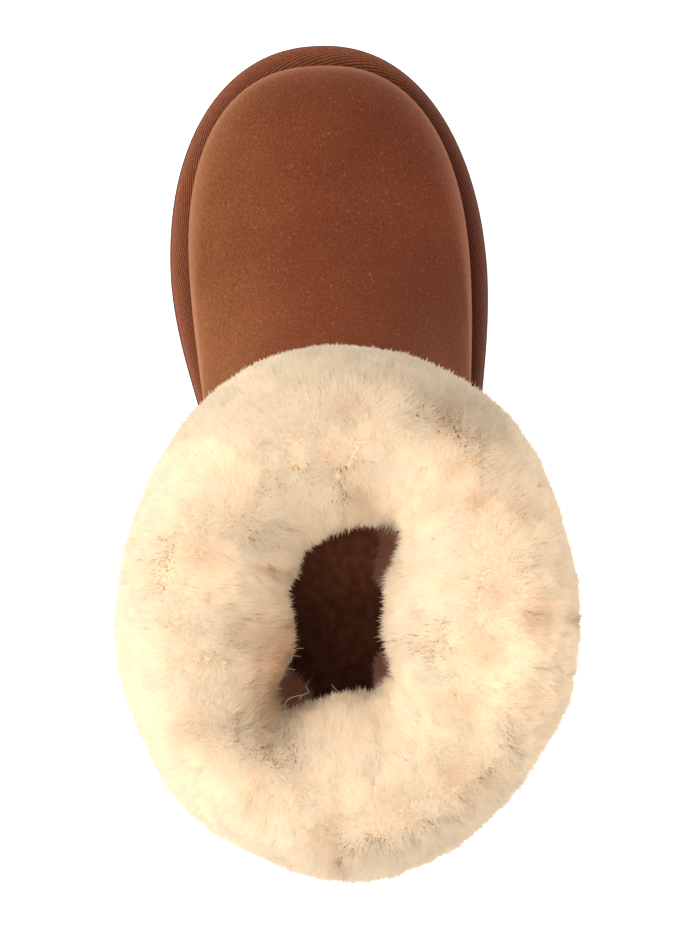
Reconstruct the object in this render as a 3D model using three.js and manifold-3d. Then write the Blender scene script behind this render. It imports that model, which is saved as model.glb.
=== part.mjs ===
// A right-foot sheepskin boot with a deep rolled fleece cuff, standing on its sole.
// Millimetres, with +X from heel to toe, +Y to the inner (big toe) side and +Z up.
// The origin is on the floor, under the middle of the sole's length.
import * as THREE from "three";
import { mergeVertices } from "three/addons/utils/BufferGeometryUtils.js";
import Module from "manifold-3d";

const wasm = await Module();
wasm.setup();

// Sizes of the sole
const SOLE_LENGTH = 258;
const BALL_WIDTH = 101.2;
const HEEL_THICKNESS = 23;
const BALL_THICKNESS = 15;
const TOE_SPRING = 7;
const TOE_SPRING_LENGTH = 54;
const ARCH_RISE = 3;
const EDGE_BEVEL = 2.5;
const SIDE_GROOVE_DEPTH = 1;
const TREAD_DEPTH = 2.5;
const TREAD_GROOVE_WIDTH = 3;
const TREAD_PITCH = 9;
const TREAD_BORDER = 8;

// Sizes of the upper
const TOE_INSET = 8.3;
const HEEL_INSET = 5;
const SIDE_INSET = 6.5;
const TOE_HEIGHT = 62;
const INSTEP_HEIGHT = 96;
const SHAFT_HEIGHT = 150;
const COLLAR_LENGTH = 114;
const COLLAR_WIDTH = 91;
const COLLAR_SETBACK = 48.7;
const SKIN = 3;

// Sizes of the tape round the base of the upper, the heel patch and the footbed
const TAPE_HEIGHT = 9.5;
const TAPE_SETBACK = 0.8;
const COUNTER_THICKNESS = 1.8;
const COUNTER_HEIGHT = 80;
const COUNTER_LENGTH = 74;
const INSOLE_THICKNESS = 6;

// Sizes of the fleece cuff
const PILE_OUTSIDE = 20;
const PILE_INSIDE = 27;
const HOLE_SHIFT = 3;
const CUFF_TOP = 169;
const CUFF_HEM = 93;
const FRONT_HEM_LIFT = 13;
const INSIDE_HEM = 121;
const LEAST_PILE = 4;
const LOCK_WIDTH = 19;
const LOCK_THICKNESS = 3.4;
const LOCK_REACH = 1.05;
const LOCK_SUNK = 3;
const LOCK_PROUD = 2.6;
const LOCK_COUNT = 54;

// The gap that pieces which touch keep
const SEAT_GAP = 0.3;

// How finely the rings are divided
const AROUND = 56;
const HALF_AROUND = AROUND / 2;
const FINE_STEPS = 240;

const TOE_X = SOLE_LENGTH / 2;
const HEEL_X = -SOLE_LENGTH / 2;
const BALL_HALF = BALL_WIDTH / 2;

const clamp01 = (t) => Math.min(1, Math.max(0, t));
const mix = (a, b, t) => a + (b - a) * t;
const ease = (t) => clamp01(t) ** 2 * (3 - 2 * clamp01(t));
const signedPower = (value, power) => Math.sign(value) * Math.abs(value) ** power;

// A rounded hump, 1 at its middle and 0 beyond its half width.
const hump = (distance, half) => Math.cos((Math.PI / 2) * Math.min(1, Math.abs(distance) / half)) ** 2;

// Plan outlines. Each is two half superellipses that meet at its widest station.

// Where the foot narrows at its waist, and how the toe swings to the inner side
const WAIST_X = -0.085 * SOLE_LENGTH;
const WAIST_HALF_LENGTH = 0.31 * SOLE_LENGTH;
const SWING_START_X = -0.155 * SOLE_LENGTH;
const TOE_SWING = 0.032 * BALL_WIDTH;

const SOLE_OUTLINE = {
  front: TOE_X,
  back: HEEL_X,
  widest: 0.21 * SOLE_LENGTH,
  inner: 1.008 * BALL_HALF,
  outer: 0.992 * BALL_HALF,
  frontPower: 2.2,
  backPower: 2.8,
  innerWaist: 0.22,
  outerWaist: 0.15,
  swing: 1,
};

function outlinePoint(shape, angle) {
  const c = Math.cos(angle);
  const s = Math.sin(angle);
  const power = 2 / (c > 0 ? shape.frontPower : shape.backPower);
  const reach = c > 0 ? shape.front - shape.widest : shape.widest - shape.back;
  const x = shape.widest + reach * signedPower(c, power);
  const [half, waist] = s > 0 ? [shape.inner, shape.innerWaist] : [shape.outer, shape.outerWaist];
  const narrowed = half * (1 - waist * hump(x - WAIST_X, WAIST_HALF_LENGTH));
  const swing = shape.swing * TOE_SWING * ease((x - SWING_START_X) / (TOE_X - SWING_START_X));
  return new THREE.Vector2(x, narrowed * signedPower(s, power) + swing);
}

// One side of an outline, from its front to its back, cut into equal lengths.
function evenSide(shape, side) {
  const fine = [];
  for (let k = 0; k <= FINE_STEPS; k++) {
    fine.push(outlinePoint(shape, (side * Math.PI * k) / FINE_STEPS));
  }
  const along = [0];
  for (let k = 1; k <= FINE_STEPS; k++) {
    along.push(along[k - 1] + fine[k].distanceTo(fine[k - 1]));
  }
  const points = [];
  let k = 1;
  for (let i = 0; i <= HALF_AROUND; i++) {
    const wanted = (along[FINE_STEPS] * i) / HALF_AROUND;
    while (k < FINE_STEPS && along[k] < wanted) k++;
    const part = (wanted - along[k - 1]) / (along[k] - along[k - 1]);
    points.push(fine[k - 1].clone().lerp(fine[k], part));
  }
  return points;
}

// A closed outline of AROUND points, from the toe along the inner side to the heel and back.
function planRing(shape) {
  const inner = evenSide(shape, 1);
  const outer = evenSide(shape, -1);
  return [...inner.slice(0, HALF_AROUND), ...outer.slice(1).reverse()];
}

// The same outline moved outwards by a distance.
function grownRing(ring, distance) {
  return ring.map((point, i) => {
    const before = ring[(i + AROUND - 1) % AROUND];
    const after = ring[(i + 1) % AROUND];
    const outward = new THREE.Vector2(after.y - before.y, before.x - after.x).normalize();
    return point.clone().addScaledVector(outward, distance);
  });
}

// Side lines of the sole

const SPRING_X = TOE_X - TOE_SPRING_LENGTH;
const HEEL_TOP_X = -0.27 * SOLE_LENGTH;
const BALL_TOP_X = 0.15 * SOLE_LENGTH;
const ARCH_X = -0.06 * SOLE_LENGTH;
const ARCH_HALF_LENGTH = 0.13 * SOLE_LENGTH;
const HEEL_BEVEL_LENGTH = 0.045 * SOLE_LENGTH;
const HEEL_BEVEL_RISE = 1.5;

const toeLift = (x) => TOE_SPRING * clamp01((x - SPRING_X) / TOE_SPRING_LENGTH) ** 2;

function soleTop(x) {
  const forward = ease((x - HEEL_TOP_X) / (BALL_TOP_X - HEEL_TOP_X));
  return mix(HEEL_THICKNESS, BALL_THICKNESS, forward) + toeLift(x);
}

function soleBottom(x) {
  const arch = ARCH_RISE * hump(x - ARCH_X, ARCH_HALF_LENGTH);
  const heel = HEEL_BEVEL_RISE * clamp01((HEEL_X + HEEL_BEVEL_LENGTH - x) / HEEL_BEVEL_LENGTH) ** 2;
  return arch + heel + toeLift(x);
}

// The upper, as rings that climb from the sole's edge to the collar.
// level: 0 at the sole, 1 at the toe's height, 2 at the instep's and 3 at the collar.
// front, back and widest: shares of the way from the collar's own station to the foot's.
// girth: half width as a share of the collar's and the foot's, mixed as far as widest says.
// lined: whether the inside of the wall has a ring there too.
const UPPER_COLUMNS = [
  "level", "front", "back", "widest", "girth", "nose",
  "seat", "inWaist", "outWaist", "lined",
];
const UPPER_ROWS = [
  [0.0, 0.985, 0.8, 1.0, 0.968, 2.3, 2.7, 0.16, 0.13, true],
  [0.2, 0.99, 0.87, 1.0, 0.978, 2.3, 2.7, 0.14, 0.12, false],
  [0.36, 1.0, 0.97, 1.0, 0.996, 2.35, 2.7, 0.11, 0.11, true],
  [0.52, 1.0, 1.02, 1.0, 1.0, 2.4, 2.65, 0.08, 0.1, false],
  [0.7, 0.972, 1.02, 0.96, 0.986, 2.35, 2.6, 0.06, 0.08, true],
  [0.86, 0.9, 0.97, 0.84, 0.962, 2.25, 2.55, 0.05, 0.06, true],
  [1.0, 0.77, 0.89, 0.57, 0.94, 2.1, 2.5, 0.03, 0.04, true],
  [1.25, 0.57, 0.75, 0.28, 0.93, 2.0, 2.4, 0.01, 0.02, false],
  [1.5, 0.412, 0.61, 0.1, 0.935, 2.0, 2.3, 0, 0, true],
  [1.75, 0.286, 0.48, 0.04, 0.948, 2.0, 2.2, 0, 0, false],
  [2.0, 0.19, 0.36, 0, 0.963, 2.05, 2.15, 0, 0, true],
  [2.25, 0.1, 0.23, 0, 0.98, 2.1, 2.1, 0, 0, true],
  [2.6, 0.03, 0.09, 0, 0.994, 2.1, 2.1, 0, 0, true],
  [3.0, 0, 0, 0, 1, 2.1, 2.1, 0, 0, true],
].map((row) => Object.fromEntries(row.map((value, k) => [UPPER_COLUMNS[k], value])));
const TOP_LEVEL = UPPER_ROWS.at(-1).level;
const INSIDE_LEVELS = UPPER_ROWS.filter((row) => row.lined).map((row) => row.level);

// The outside has a ring at each row, and one between each two where the vamp turns over.
const TURN = { from: 0.9, to: 1.6 };
const OUTSIDE_LEVELS = UPPER_ROWS.flatMap(({ level }, k) => {
  const turns = level > TURN.from && level < TURN.to;
  return turns ? [(UPPER_ROWS[k - 1].level + level) / 2, level] : [level];
});

const FOOT = {
  front: TOE_X - TOE_INSET,
  back: HEEL_X + HEEL_INSET,
  widest: SOLE_OUTLINE.widest,
  half: BALL_HALF - SIDE_INSET,
};
const COLLAR = {
  front: COLLAR_LENGTH / 2 - COLLAR_SETBACK,
  back: -COLLAR_LENGTH / 2 - COLLAR_SETBACK,
  widest: -COLLAR_SETBACK,
  half: COLLAR_WIDTH / 2,
};

// A smooth curve through one column of the rows.
function columnAt(name, level) {
  let k = 1;
  while (k < UPPER_ROWS.length - 1 && UPPER_ROWS[k].level < level) k++;
  const [a, b] = [UPPER_ROWS[k - 1], UPPER_ROWS[k]];
  const span = b.level - a.level;
  const slopeOf = (j) => {
    const before = UPPER_ROWS[Math.max(0, j - 1)];
    const after = UPPER_ROWS[Math.min(UPPER_ROWS.length - 1, j + 1)];
    return ((after[name] - before[name]) / (after.level - before.level)) * span;
  };
  const t = (level - a.level) / span;
  const [from, to] = [slopeOf(k - 1), slopeOf(k)];
  return (
    a[name] * (1 + 2 * t) * (1 - t) ** 2 + from * t * (1 - t) ** 2 +
    b[name] * t ** 2 * (3 - 2 * t) - to * t ** 2 * (1 - t)
  );
}

function heightAt(level, x) {
  const heights = [soleTop(x) + SEAT_GAP, TOE_HEIGHT, INSTEP_HEIGHT, SHAFT_HEIGHT];
  const step = Math.min(TOP_LEVEL - 1, Math.floor(level));
  return mix(heights[step], heights[step + 1], level - step);
}

// The level that lies at a height, over a station of the sole.
function levelOf(height, x) {
  const heights = [soleTop(x) + SEAT_GAP, TOE_HEIGHT, INSTEP_HEIGHT, SHAFT_HEIGHT];
  const step = heights[1] > height ? 0 : heights[2] > height ? 1 : 2;
  return Math.min(TOP_LEVEL, step + (height - heights[step]) / (heights[step + 1] - heights[step]));
}

const ringCache = new Map();
function upperRing(level) {
  if (!ringCache.has(level)) {
    const column = (name) => columnAt(name, level);
    const half = mix(COLLAR.half, FOOT.half, clamp01(column("widest"))) * column("girth");
    const shape = {
      front: mix(COLLAR.front, FOOT.front, column("front")),
      back: mix(COLLAR.back, FOOT.back, column("back")),
      widest: mix(COLLAR.widest, FOOT.widest, column("widest")),
      inner: half,
      outer: half,
      frontPower: column("nose"),
      backPower: column("seat"),
      innerWaist: column("inWaist"),
      outerWaist: column("outWaist"),
      swing: clamp01(TOP_LEVEL - 1 - level),
    };
    ringCache.set(level, planRing(shape).map((p) => new THREE.Vector3(p.x, p.y, heightAt(level, p.x))));
  }
  return ringCache.get(level);
}

// The upper's surface, moved outwards by a distance, or inwards by a negative one.
const LEVEL_STEP = 0.02;
function skinRing(level, distance) {
  const ring = upperRing(level);
  const above = upperRing(Math.min(TOP_LEVEL, level + LEVEL_STEP));
  const below = upperRing(Math.max(0, level - LEVEL_STEP));
  return ring.map((point, i) => {
    const round = ring[(i + 1) % AROUND].clone().sub(ring[(i + AROUND - 1) % AROUND]);
    const climb = above[i].clone().sub(below[i]);
    return point.clone().addScaledVector(round.cross(climb).normalize(), distance);
  });
}

// A point at a height, at a distance from the flat facets between two rings of the wall.
function wallPoint(i, height, distance) {
  const levels = distance < 0 ? INSIDE_LEVELS : OUTSIDE_LEVELS;
  const level = levelOf(height, upperRing(0)[i].x);
  const k = Math.max(1, levels.findIndex((other) => other >= level));
  const [below, above] = [levels[k - 1], levels[k]];
  const [from, to] = [skinRing(below, distance)[i], skinRing(above, distance)[i]];
  return from.clone().lerp(to, (level - below) / (above - below));
}

const flatRing = (ring, z) => ring.map((p) => new THREE.Vector3(p.x, p.y, z));
const atHeight = (ring, heightOf) => ring.map((p) => new THREE.Vector3(p.x, p.y, heightOf(p.x)));

// Closed meshes from rings

function signedVolume(points, faces) {
  let six = 0;
  for (const [a, b, c] of faces) six += points[a].dot(points[b].clone().cross(points[c]));
  return six / 6;
}

// A mesh whose faces point outwards, from its points and triangles.
function closedGeometry(points, faces) {
  const inward = signedVolume(points, faces) < 0;
  const geometry = new THREE.BufferGeometry().setFromPoints(points);
  geometry.setIndex(faces.flatMap(([a, b, c]) => (inward ? [a, c, b] : [a, b, c])));
  return geometry;
}

// Triangles between each ring and the next. A ring closes on itself.
function bandsBetween(ringCount, closed) {
  const faces = [];
  const bands = closed ? ringCount : ringCount - 1;
  for (let j = 0; j < bands; j++) {
    const low = j * AROUND;
    const high = ((j + 1) % ringCount) * AROUND;
    for (let i = 0; i < AROUND; i++) {
      const next = (i + 1) % AROUND;
      faces.push([low + i, low + next, high + next], [low + i, high + next, high + i]);
    }
  }
  return faces;
}

// Triangles straight across a ring, from its inner side to its outer side.
function capAcross(start, reversed) {
  const faces = [];
  for (let i = 0; i < HALF_AROUND; i++) {
    const [a, b] = [start + i, start + i + 1];
    const [c, d] = [start + ((AROUND - i) % AROUND), start + AROUND - i - 1];
    const pair = [[a, b, d], [a, d, c]].filter((f) => new Set(f).size === 3);
    faces.push(...pair.map((f) => (reversed ? [...f].reverse() : f)));
  }
  return faces;
}

// A solid inside stacked rings, closed across its first and last.
function slab(rings) {
  const last = (rings.length - 1) * AROUND;
  const faces = [...bandsBetween(rings.length, false), ...capAcross(0, true), ...capAcross(last, false)];
  return closedGeometry(rings.flat(), faces);
}

// A solid whose section is a closed line of rings, such as a tube or a wall.
const hoop = (rings) => closedGeometry(rings.flat(), bandsBetween(rings.length, true));

// Joins and cuts

function solidFrom(geometry) {
  const bare = geometry.clone();
  bare.deleteAttribute("normal");
  bare.deleteAttribute("uv");
  const merged = mergeVertices(bare, 1e-4);
  return new wasm.Manifold(
    new wasm.Mesh({
      numProp: 3,
      vertProperties: new Float32Array(merged.attributes.position.array),
      triVerts: new Uint32Array(merged.index.array),
    }),
  );
}

function geometryFrom(solid) {
  const mesh = solid.getMesh();
  return new THREE.BufferGeometry()
    .setAttribute("position", new THREE.BufferAttribute(new Float32Array(mesh.vertProperties), 3))
    .setIndex(new THREE.BufferAttribute(new Uint32Array(mesh.triVerts), 1));
}

// Outsole

const soleRing = planRing(SOLE_OUTLINE);

// The side of the sole from the floor up. height is a share of the thickness there.
const SOLE_SIDE = [
  { out: -EDGE_BEVEL, height: 0 },
  { out: -0.3 * EDGE_BEVEL, height: 0.09 },
  { out: 0, height: 0.2 },
  { out: 0, height: 0.5 },
  { out: -SIDE_GROOVE_DEPTH, height: 0.55 },
  { out: -SIDE_GROOVE_DEPTH, height: 0.63 },
  { out: 0, height: 0.68 },
  { out: 0, height: 0.93 },
  { out: -0.3 * EDGE_BEVEL, height: 1 },
];

const TREAD_PADS = [
  { from: -0.44 * SOLE_LENGTH, to: -0.21 * SOLE_LENGTH },
  { from: 0.09 * SOLE_LENGTH, to: 0.4 * SOLE_LENGTH },
];

// The sole's half width at a station, on the inner side (1) or the outer side (-1).
function soleEdge(x, side) {
  const points = soleRing.filter((p) => Math.sign(p.y) === side).sort((a, b) => a.x - b.x);
  const k = Math.max(1, points.findIndex((p) => p.x > x));
  const t = (x - points[k - 1].x) / (points[k].x - points[k - 1].x);
  return mix(points[k - 1].y, points[k].y, t);
}

function treadGroove(x) {
  const inner = soleEdge(x, 1) - TREAD_BORDER;
  const outer = soleEdge(x, -1) + TREAD_BORDER;
  const groove = new THREE.BoxGeometry(TREAD_GROOVE_WIDTH, inner - outer, 2 * TREAD_DEPTH);
  const slope = (soleBottom(x + 1) - soleBottom(x - 1)) / 2;
  groove.rotateY(-Math.atan(slope));
  return groove.translate(x, (inner + outer) / 2, soleBottom(x));
}

function makeOutsole() {
  const rings = SOLE_SIDE.map(({ out, height }) =>
    atHeight(grownRing(soleRing, out), (x) => mix(soleBottom(x), soleTop(x), height)),
  );
  let sole = solidFrom(slab(rings));
  for (const pad of TREAD_PADS) {
    const grooves = Math.floor((pad.to - pad.from) / TREAD_PITCH);
    for (let k = 0; k <= grooves; k++) {
      sole = sole.subtract(solidFrom(treadGroove(pad.from + k * TREAD_PITCH)));
    }
  }
  return geometryFrom(sole);
}

// Insole, inside the upper's wall

const INSOLE_EDGE_ROUND = 1.2;

function makeInsole() {
  const edge = skinRing(0, -SKIN - 2 * SEAT_GAP).map((p) => new THREE.Vector2(p.x, p.y));
  const floor = (x) => soleTop(x) + SEAT_GAP;
  const inset = grownRing(edge, -INSOLE_EDGE_ROUND);
  return slab([
    atHeight(edge, floor),
    atHeight(edge, (x) => floor(x) + INSOLE_THICKNESS - INSOLE_EDGE_ROUND),
    atHeight(inset, (x) => floor(x) + INSOLE_THICKNESS),
  ]);
}

// Upper: vamp and shaft in one hollow wall, open at the collar and underneath

function makeUpper() {
  const outside = OUTSIDE_LEVELS.map((level) => skinRing(level, 0));
  const inside = INSIDE_LEVELS.map((level) => {
    const ring = skinRing(level, -SKIN);
    if (level === TOP_LEVEL) return flatRing(ring, SHAFT_HEIGHT);
    return level === 0 ? atHeight(ring, (x) => soleTop(x) + SEAT_GAP) : ring;
  });
  return hoop([...outside, ...inside.reverse()]);
}

// Twill tape: a half-round roll in the corner between the sole's edge and the upper.
// reach goes from the upper (0) to the sole's edge (1). lift is a share of the tape's height.
const TAPE_SECTION = [
  { reach: 0, lift: 0 },
  { reach: 0.97, lift: 0 },
  { reach: 1.0, lift: 0.22 },
  { reach: 0.97, lift: 0.48 },
  { reach: 0.82, lift: 0.75 },
  { reach: 0.54, lift: 0.94 },
  { reach: 0.22, lift: 1.0 },
  { reach: 0, lift: 0.86 },
];
const LEAST_TAPE = 2.6;

function makeTape() {
  const edge = grownRing(soleRing, -TAPE_SETBACK);
  const rings = TAPE_SECTION.map(({ reach, lift }) => {
    return edge.map((_, i) => {
      const inner = wallPoint(i, soleTop(upperRing(0)[i].x) + SEAT_GAP + lift * TAPE_HEIGHT, SEAT_GAP);
      const across = new THREE.Vector2(edge[i].x - inner.x, edge[i].y - inner.y);
      across.setLength(Math.max(LEAST_TAPE, across.length()));
      const x = inner.x + across.x * reach;
      const y = inner.y + across.y * reach;
      return new THREE.Vector3(x, y, soleTop(x) + SEAT_GAP + lift * TAPE_HEIGHT);
    });
  });
  return hoop(rings);
}

// Heel patch: a curved panel over the back of the upper, from the tape up

const COUNTER_CLEARANCE = 1.2;

function makeCounter() {
  const under = OUTSIDE_LEVELS.map((level) => skinRing(level, SEAT_GAP));
  const over = OUTSIDE_LEVELS.map((level) => skinRing(level, SEAT_GAP + COUNTER_THICKNESS));
  const shell = solidFrom(hoop([...under, ...over.reverse()]));
  const low = HEEL_THICKNESS + TAPE_HEIGHT + COUNTER_CLEARANCE;
  const front = HEEL_X + COUNTER_LENGTH;
  const behind = HEEL_X - COUNTER_THICKNESS;
  const outline = new THREE.Shape();
  outline.moveTo(behind, low);
  outline.lineTo(front, low);
  const bend = mix(low, COUNTER_HEIGHT, 0.7);
  outline.bezierCurveTo(front, bend, front, COUNTER_HEIGHT, behind, COUNTER_HEIGHT);
  const width = 2 * BALL_WIDTH;
  const block = new THREE.ExtrudeGeometry(outline, { depth: width, bevelEnabled: false, curveSegments: 8 });
  block.rotateX(Math.PI / 2).translate(0, width / 2, 0);
  return geometryFrom(shell.intersect(solidFrom(block)));
}

// Fleece cuff: the top of the shaft rolled outwards, with its pile all round.
// reach is a share of the outside pile, or of the inside pile where it is negative.
// up is a share of the way from the cuff's hem to its top.
const PILE_ROWS = [
  { reach: 0.45, up: 0.0 },
  { reach: 0.9, up: 0.08 },
  { reach: 1.0, up: 0.26 },
  { reach: 1.0, up: 0.48 },
  { reach: 0.9, up: 0.72 },
  { reach: 0.6, up: 0.91 },
  { reach: 0.15, up: 1.0 },
  { reach: -0.4, up: 0.97 },
  { reach: -0.8, up: 0.84 },
  { reach: -1.0, up: 0.66 },
  { reach: -0.88, up: 0.47 },
  { reach: -0.5, up: 0.375 },
];

// Soft bulges and dents of the pile. around is a share of the way round from the toe by the
// inner side, row a place among PILE_ROWS, and rise a share of the outside pile.
const BULGES = [
  { around: 0.03, row: 4, rise: 0.05 },
  { around: 0.14, row: 8, rise: 0.08 },
  { around: 0.2, row: 3, rise: 0.08 },
  { around: 0.36, row: 7, rise: -0.08 },
  { around: 0.38, row: 3, rise: 0.05 },
  { around: 0.48, row: 3, rise: 0.07 },
  { around: 0.56, row: 3, rise: -0.12 },
  { around: 0.62, row: 9, rise: 0.1 },
  { around: 0.65, row: 3, rise: -0.1 },
  { around: 0.74, row: 10, rise: 0.1 },
  { around: 0.76, row: 3, rise: 0.06 },
  { around: 0.87, row: 4, rise: 0.06 },
  { around: 0.94, row: 9, rise: -0.07 },
];
const BULGE_HALF_AROUND = 0.07;
const BULGE_HALF_ROWS = 3.5;

function bulgeAt(around, row) {
  let rise = 0;
  for (const bulge of BULGES) {
    const apart = Math.abs(around - bulge.around);
    const near = hump(Math.min(apart, 1 - apart), BULGE_HALF_AROUND);
    rise += bulge.rise * near * hump(row - bulge.row, BULGE_HALF_ROWS);
  }
  return rise * PILE_OUTSIDE;
}

const collarRing = skinRing(TOP_LEVEL, 0);
const collarOutward = skinRing(TOP_LEVEL, 1).map((p, i) => p.sub(collarRing[i]).setZ(0).normalize());
const hemHeight = (i) => CUFF_HEM + FRONT_HEM_LIFT * Math.max(0, collarOutward[i].x) ** 2;

// A point of the pile's surface in the upright plane through a point of the collar.
function pilePoint(i, row) {
  const { reach, up } = PILE_ROWS[row];
  const outward = collarOutward[i];
  const height = mix(hemHeight(i), CUFF_TOP, up);
  const foot = wallPoint(i, Math.min(height, SHAFT_HEIGHT), 0);
  const slope = foot.clone().sub(collarRing[i]).dot(outward);
  const pile = reach > 0 ? PILE_OUTSIDE : PILE_INSIDE + SKIN;
  const bulge = Math.sign(reach) * bulgeAt(i / AROUND, row);
  const wanted = reach * pile + bulge;
  const out = reach > 0 ? Math.max(wanted, slope + LEAST_PILE * Math.min(1, up * 8 + 0.3)) : wanted;
  const base = reach > 0 ? foot.clone().addScaledVector(outward, -slope) : collarRing[i].clone();
  const shift = reach < 0 ? -reach * HOLE_SHIFT : 0;
  return base.addScaledVector(outward, out).add(new THREE.Vector3(0, shift, 0)).setZ(height);
}

// The pile as one ring, closed on itself in the middle of the shaft's wall.
function pileRing() {
  const everyPoint = (pointAt) => Array.from({ length: AROUND }, (_, i) => pointAt(i));
  return hoop([
    everyPoint((i) => wallPoint(i, hemHeight(i), -SKIN / 2)),
    ...PILE_ROWS.map((_, row) => everyPoint((i) => pilePoint(i, row))),
    everyPoint((i) => wallPoint(i, INSIDE_HEM, -SKIN / 2)),
  ]);
}

// The room that the top of the shaft takes up in the pile, with the gap round it.
function shaftRoom() {
  const [beyond, within] = [SEAT_GAP, -SKIN - SEAT_GAP];
  const isTop = (level) => level === TOP_LEVEL;
  const wallRing = (level, distance) => {
    const ring = skinRing(level, distance);
    return isTop(level) ? flatRing(ring, SHAFT_HEIGHT + SEAT_GAP) : ring;
  };
  const outside = OUTSIDE_LEVELS.map((level) => wallRing(level, beyond));
  const inside = INSIDE_LEVELS.map((level) => wallRing(level, within));
  return hoop([...outside, ...inside.reverse()]);
}

// A point of the pile's surface at any place between two rows.
function pileAt(i, place) {
  const row = Math.min(PILE_ROWS.length - 2, Math.floor(place));
  return pilePoint(i, row).lerp(pilePoint(i, row + 1), place - row);
}

// One lock of wool that lies along the pile: a flat spindle, its root sunk and its tip proud.
function lockGeometry(i, place, size) {
  const way = place < CREST_ROW ? -1 : 1;
  const here = pileAt(i, place);
  const across = pileAt((i + 1) % AROUND, place).sub(pileAt((i + AROUND - 1) % AROUND, place)).normalize();
  const climb = pileAt(i, place + STEP_ASIDE).sub(pileAt(i, place - STEP_ASIDE));
  const normal = across.clone().cross(climb).normalize();
  const root = pileAt(i, place - way * size * LOCK_REACH).addScaledVector(normal, -LOCK_SUNK);
  const tip = pileAt(i, place + way * size * LOCK_REACH).addScaledVector(normal, LOCK_PROUD);
  const points = [root, tip];
  const faces = [];
  for (let k = 0; k < LOCK_SIDES; k++) {
    const angle = (2 * Math.PI * (k + 0.25)) / LOCK_SIDES;
    const aside = here.clone().addScaledVector(across, 0.5 * size * LOCK_WIDTH * Math.cos(angle));
    points.push(aside.addScaledVector(normal, size * LOCK_THICKNESS * Math.sin(angle)));
    const [side, next] = [2 + k, 2 + ((k + 1) % LOCK_SIDES)];
    faces.push([0, side, next], [1, next, side]);
  }
  return closedGeometry(points, faces);
}

// Locks are spread evenly over the outside, the top and the inside, and fall away from the
// crest. The turn from one to the next is the golden one, so that they never line up.
const GOLDEN_TURN = 0.618034;
const FIRST_LOCK_ROW = 1.5;
const LAST_LOCK_ROW = 8.6;
const CREST_ROW = 6.2;
const STEP_ASIDE = 0.2;
const LOCK_SIDES = 4;

function addLocks(cuff) {
  let joined = cuff;
  for (let k = 0; k < LOCK_COUNT; k++) {
    const i = Math.floor(((k * GOLDEN_TURN) % 1) * AROUND);
    const place = mix(FIRST_LOCK_ROW, LAST_LOCK_ROW, (k + 0.5) / LOCK_COUNT);
    const size = 0.85 + 0.3 * ((k * GOLDEN_TURN * 3) % 1);
    joined = joined.add(solidFrom(lockGeometry(i, place, size)));
  }
  return joined;
}

function makeCuff() {
  const furred = addLocks(solidFrom(pileRing()));
  return geometryFrom(furred.subtract(solidFrom(shaftRoom())));
}

// Assembly

const suede = { color: 0x9a5c3a, roughness: 0.95, metalness: 0 };
const twill = { color: 0x8a5235, roughness: 0.9, metalness: 0 };
const foam = { color: 0x7a4a30, roughness: 0.8, metalness: 0 };
const fleece = { color: 0xf3d9b4, roughness: 1, metalness: 0 };
const lining = { color: 0x5a3a2a, roughness: 1, metalness: 0 };

const PIECES = [
  { name: "outsole", geometry: makeOutsole(), finish: foam },
  { name: "insole", geometry: makeInsole(), finish: lining },
  { name: "upper", geometry: makeUpper(), finish: suede },
  { name: "binding_tape", geometry: makeTape(), finish: twill },
  { name: "heel_counter", geometry: makeCounter(), finish: suede },
  { name: "fleece_cuff", geometry: makeCuff(), finish: fleece },
];

const boot = new THREE.Group();
for (const { name, geometry, finish } of PIECES) {
  const mesh = new THREE.Mesh(geometry, new THREE.MeshStandardMaterial(finish));
  mesh.name = name;
  boot.add(mesh);
}

export default boot;
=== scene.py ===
"""Finishing scene for the sheepskin boot.

Lengths are in millimetres until a mesh is made, in the frame of the CAD model:
+X from heel to toe, +Y to the inner side of the foot, +Z up. The places and sizes
of the camera, the lights and the floor are in metres.
"""
import math

import bpy
import numpy as np
from mathutils import Matrix, Vector, kdtree


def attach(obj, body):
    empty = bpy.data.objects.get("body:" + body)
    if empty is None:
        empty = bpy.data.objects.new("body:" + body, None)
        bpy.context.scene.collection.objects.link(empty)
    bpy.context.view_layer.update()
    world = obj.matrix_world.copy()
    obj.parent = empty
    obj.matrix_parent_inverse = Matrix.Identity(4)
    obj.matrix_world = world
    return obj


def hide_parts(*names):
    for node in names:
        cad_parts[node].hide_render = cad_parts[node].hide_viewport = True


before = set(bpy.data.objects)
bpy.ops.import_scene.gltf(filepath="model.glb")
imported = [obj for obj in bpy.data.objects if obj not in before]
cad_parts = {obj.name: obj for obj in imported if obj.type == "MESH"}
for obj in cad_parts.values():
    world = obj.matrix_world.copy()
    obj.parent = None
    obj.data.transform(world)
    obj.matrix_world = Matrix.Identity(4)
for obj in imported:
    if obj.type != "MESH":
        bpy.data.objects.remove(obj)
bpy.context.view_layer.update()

MM = 0.001
RNG = np.random.default_rng(36)
scene = bpy.context.scene


# Camera, looking straight down with the toe at the top of the picture

CAMERA_PLACE = (-0.005, -0.0022, 1.5)
CAMERA_ROLL = math.radians(2)
CAMERA_LENS, SENSOR_WIDTH = 179.6, 36
NEAR_CLIP, FAR_CLIP = 0.1, 20


def make_camera():
    right = Vector((-math.sin(CAMERA_ROLL), -math.cos(CAMERA_ROLL), 0))
    up = Vector((math.cos(CAMERA_ROLL), -math.sin(CAMERA_ROLL), 0))
    axes = Matrix((right, up, Vector((0, 0, 1)))).transposed()
    data = bpy.data.cameras.new("camera")
    data.lens, data.sensor_width = CAMERA_LENS, SENSOR_WIDTH
    data.clip_start, data.clip_end = NEAR_CLIP, FAR_CLIP
    camera = bpy.data.objects.new("camera", data)
    camera.matrix_world = Matrix.Translation(CAMERA_PLACE) @ axes.to_4x4()
    scene.collection.objects.link(camera)
    scene.camera = camera


make_camera()


# Small helpers

def clamp01(t):
    return np.clip(t, 0, 1)


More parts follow.
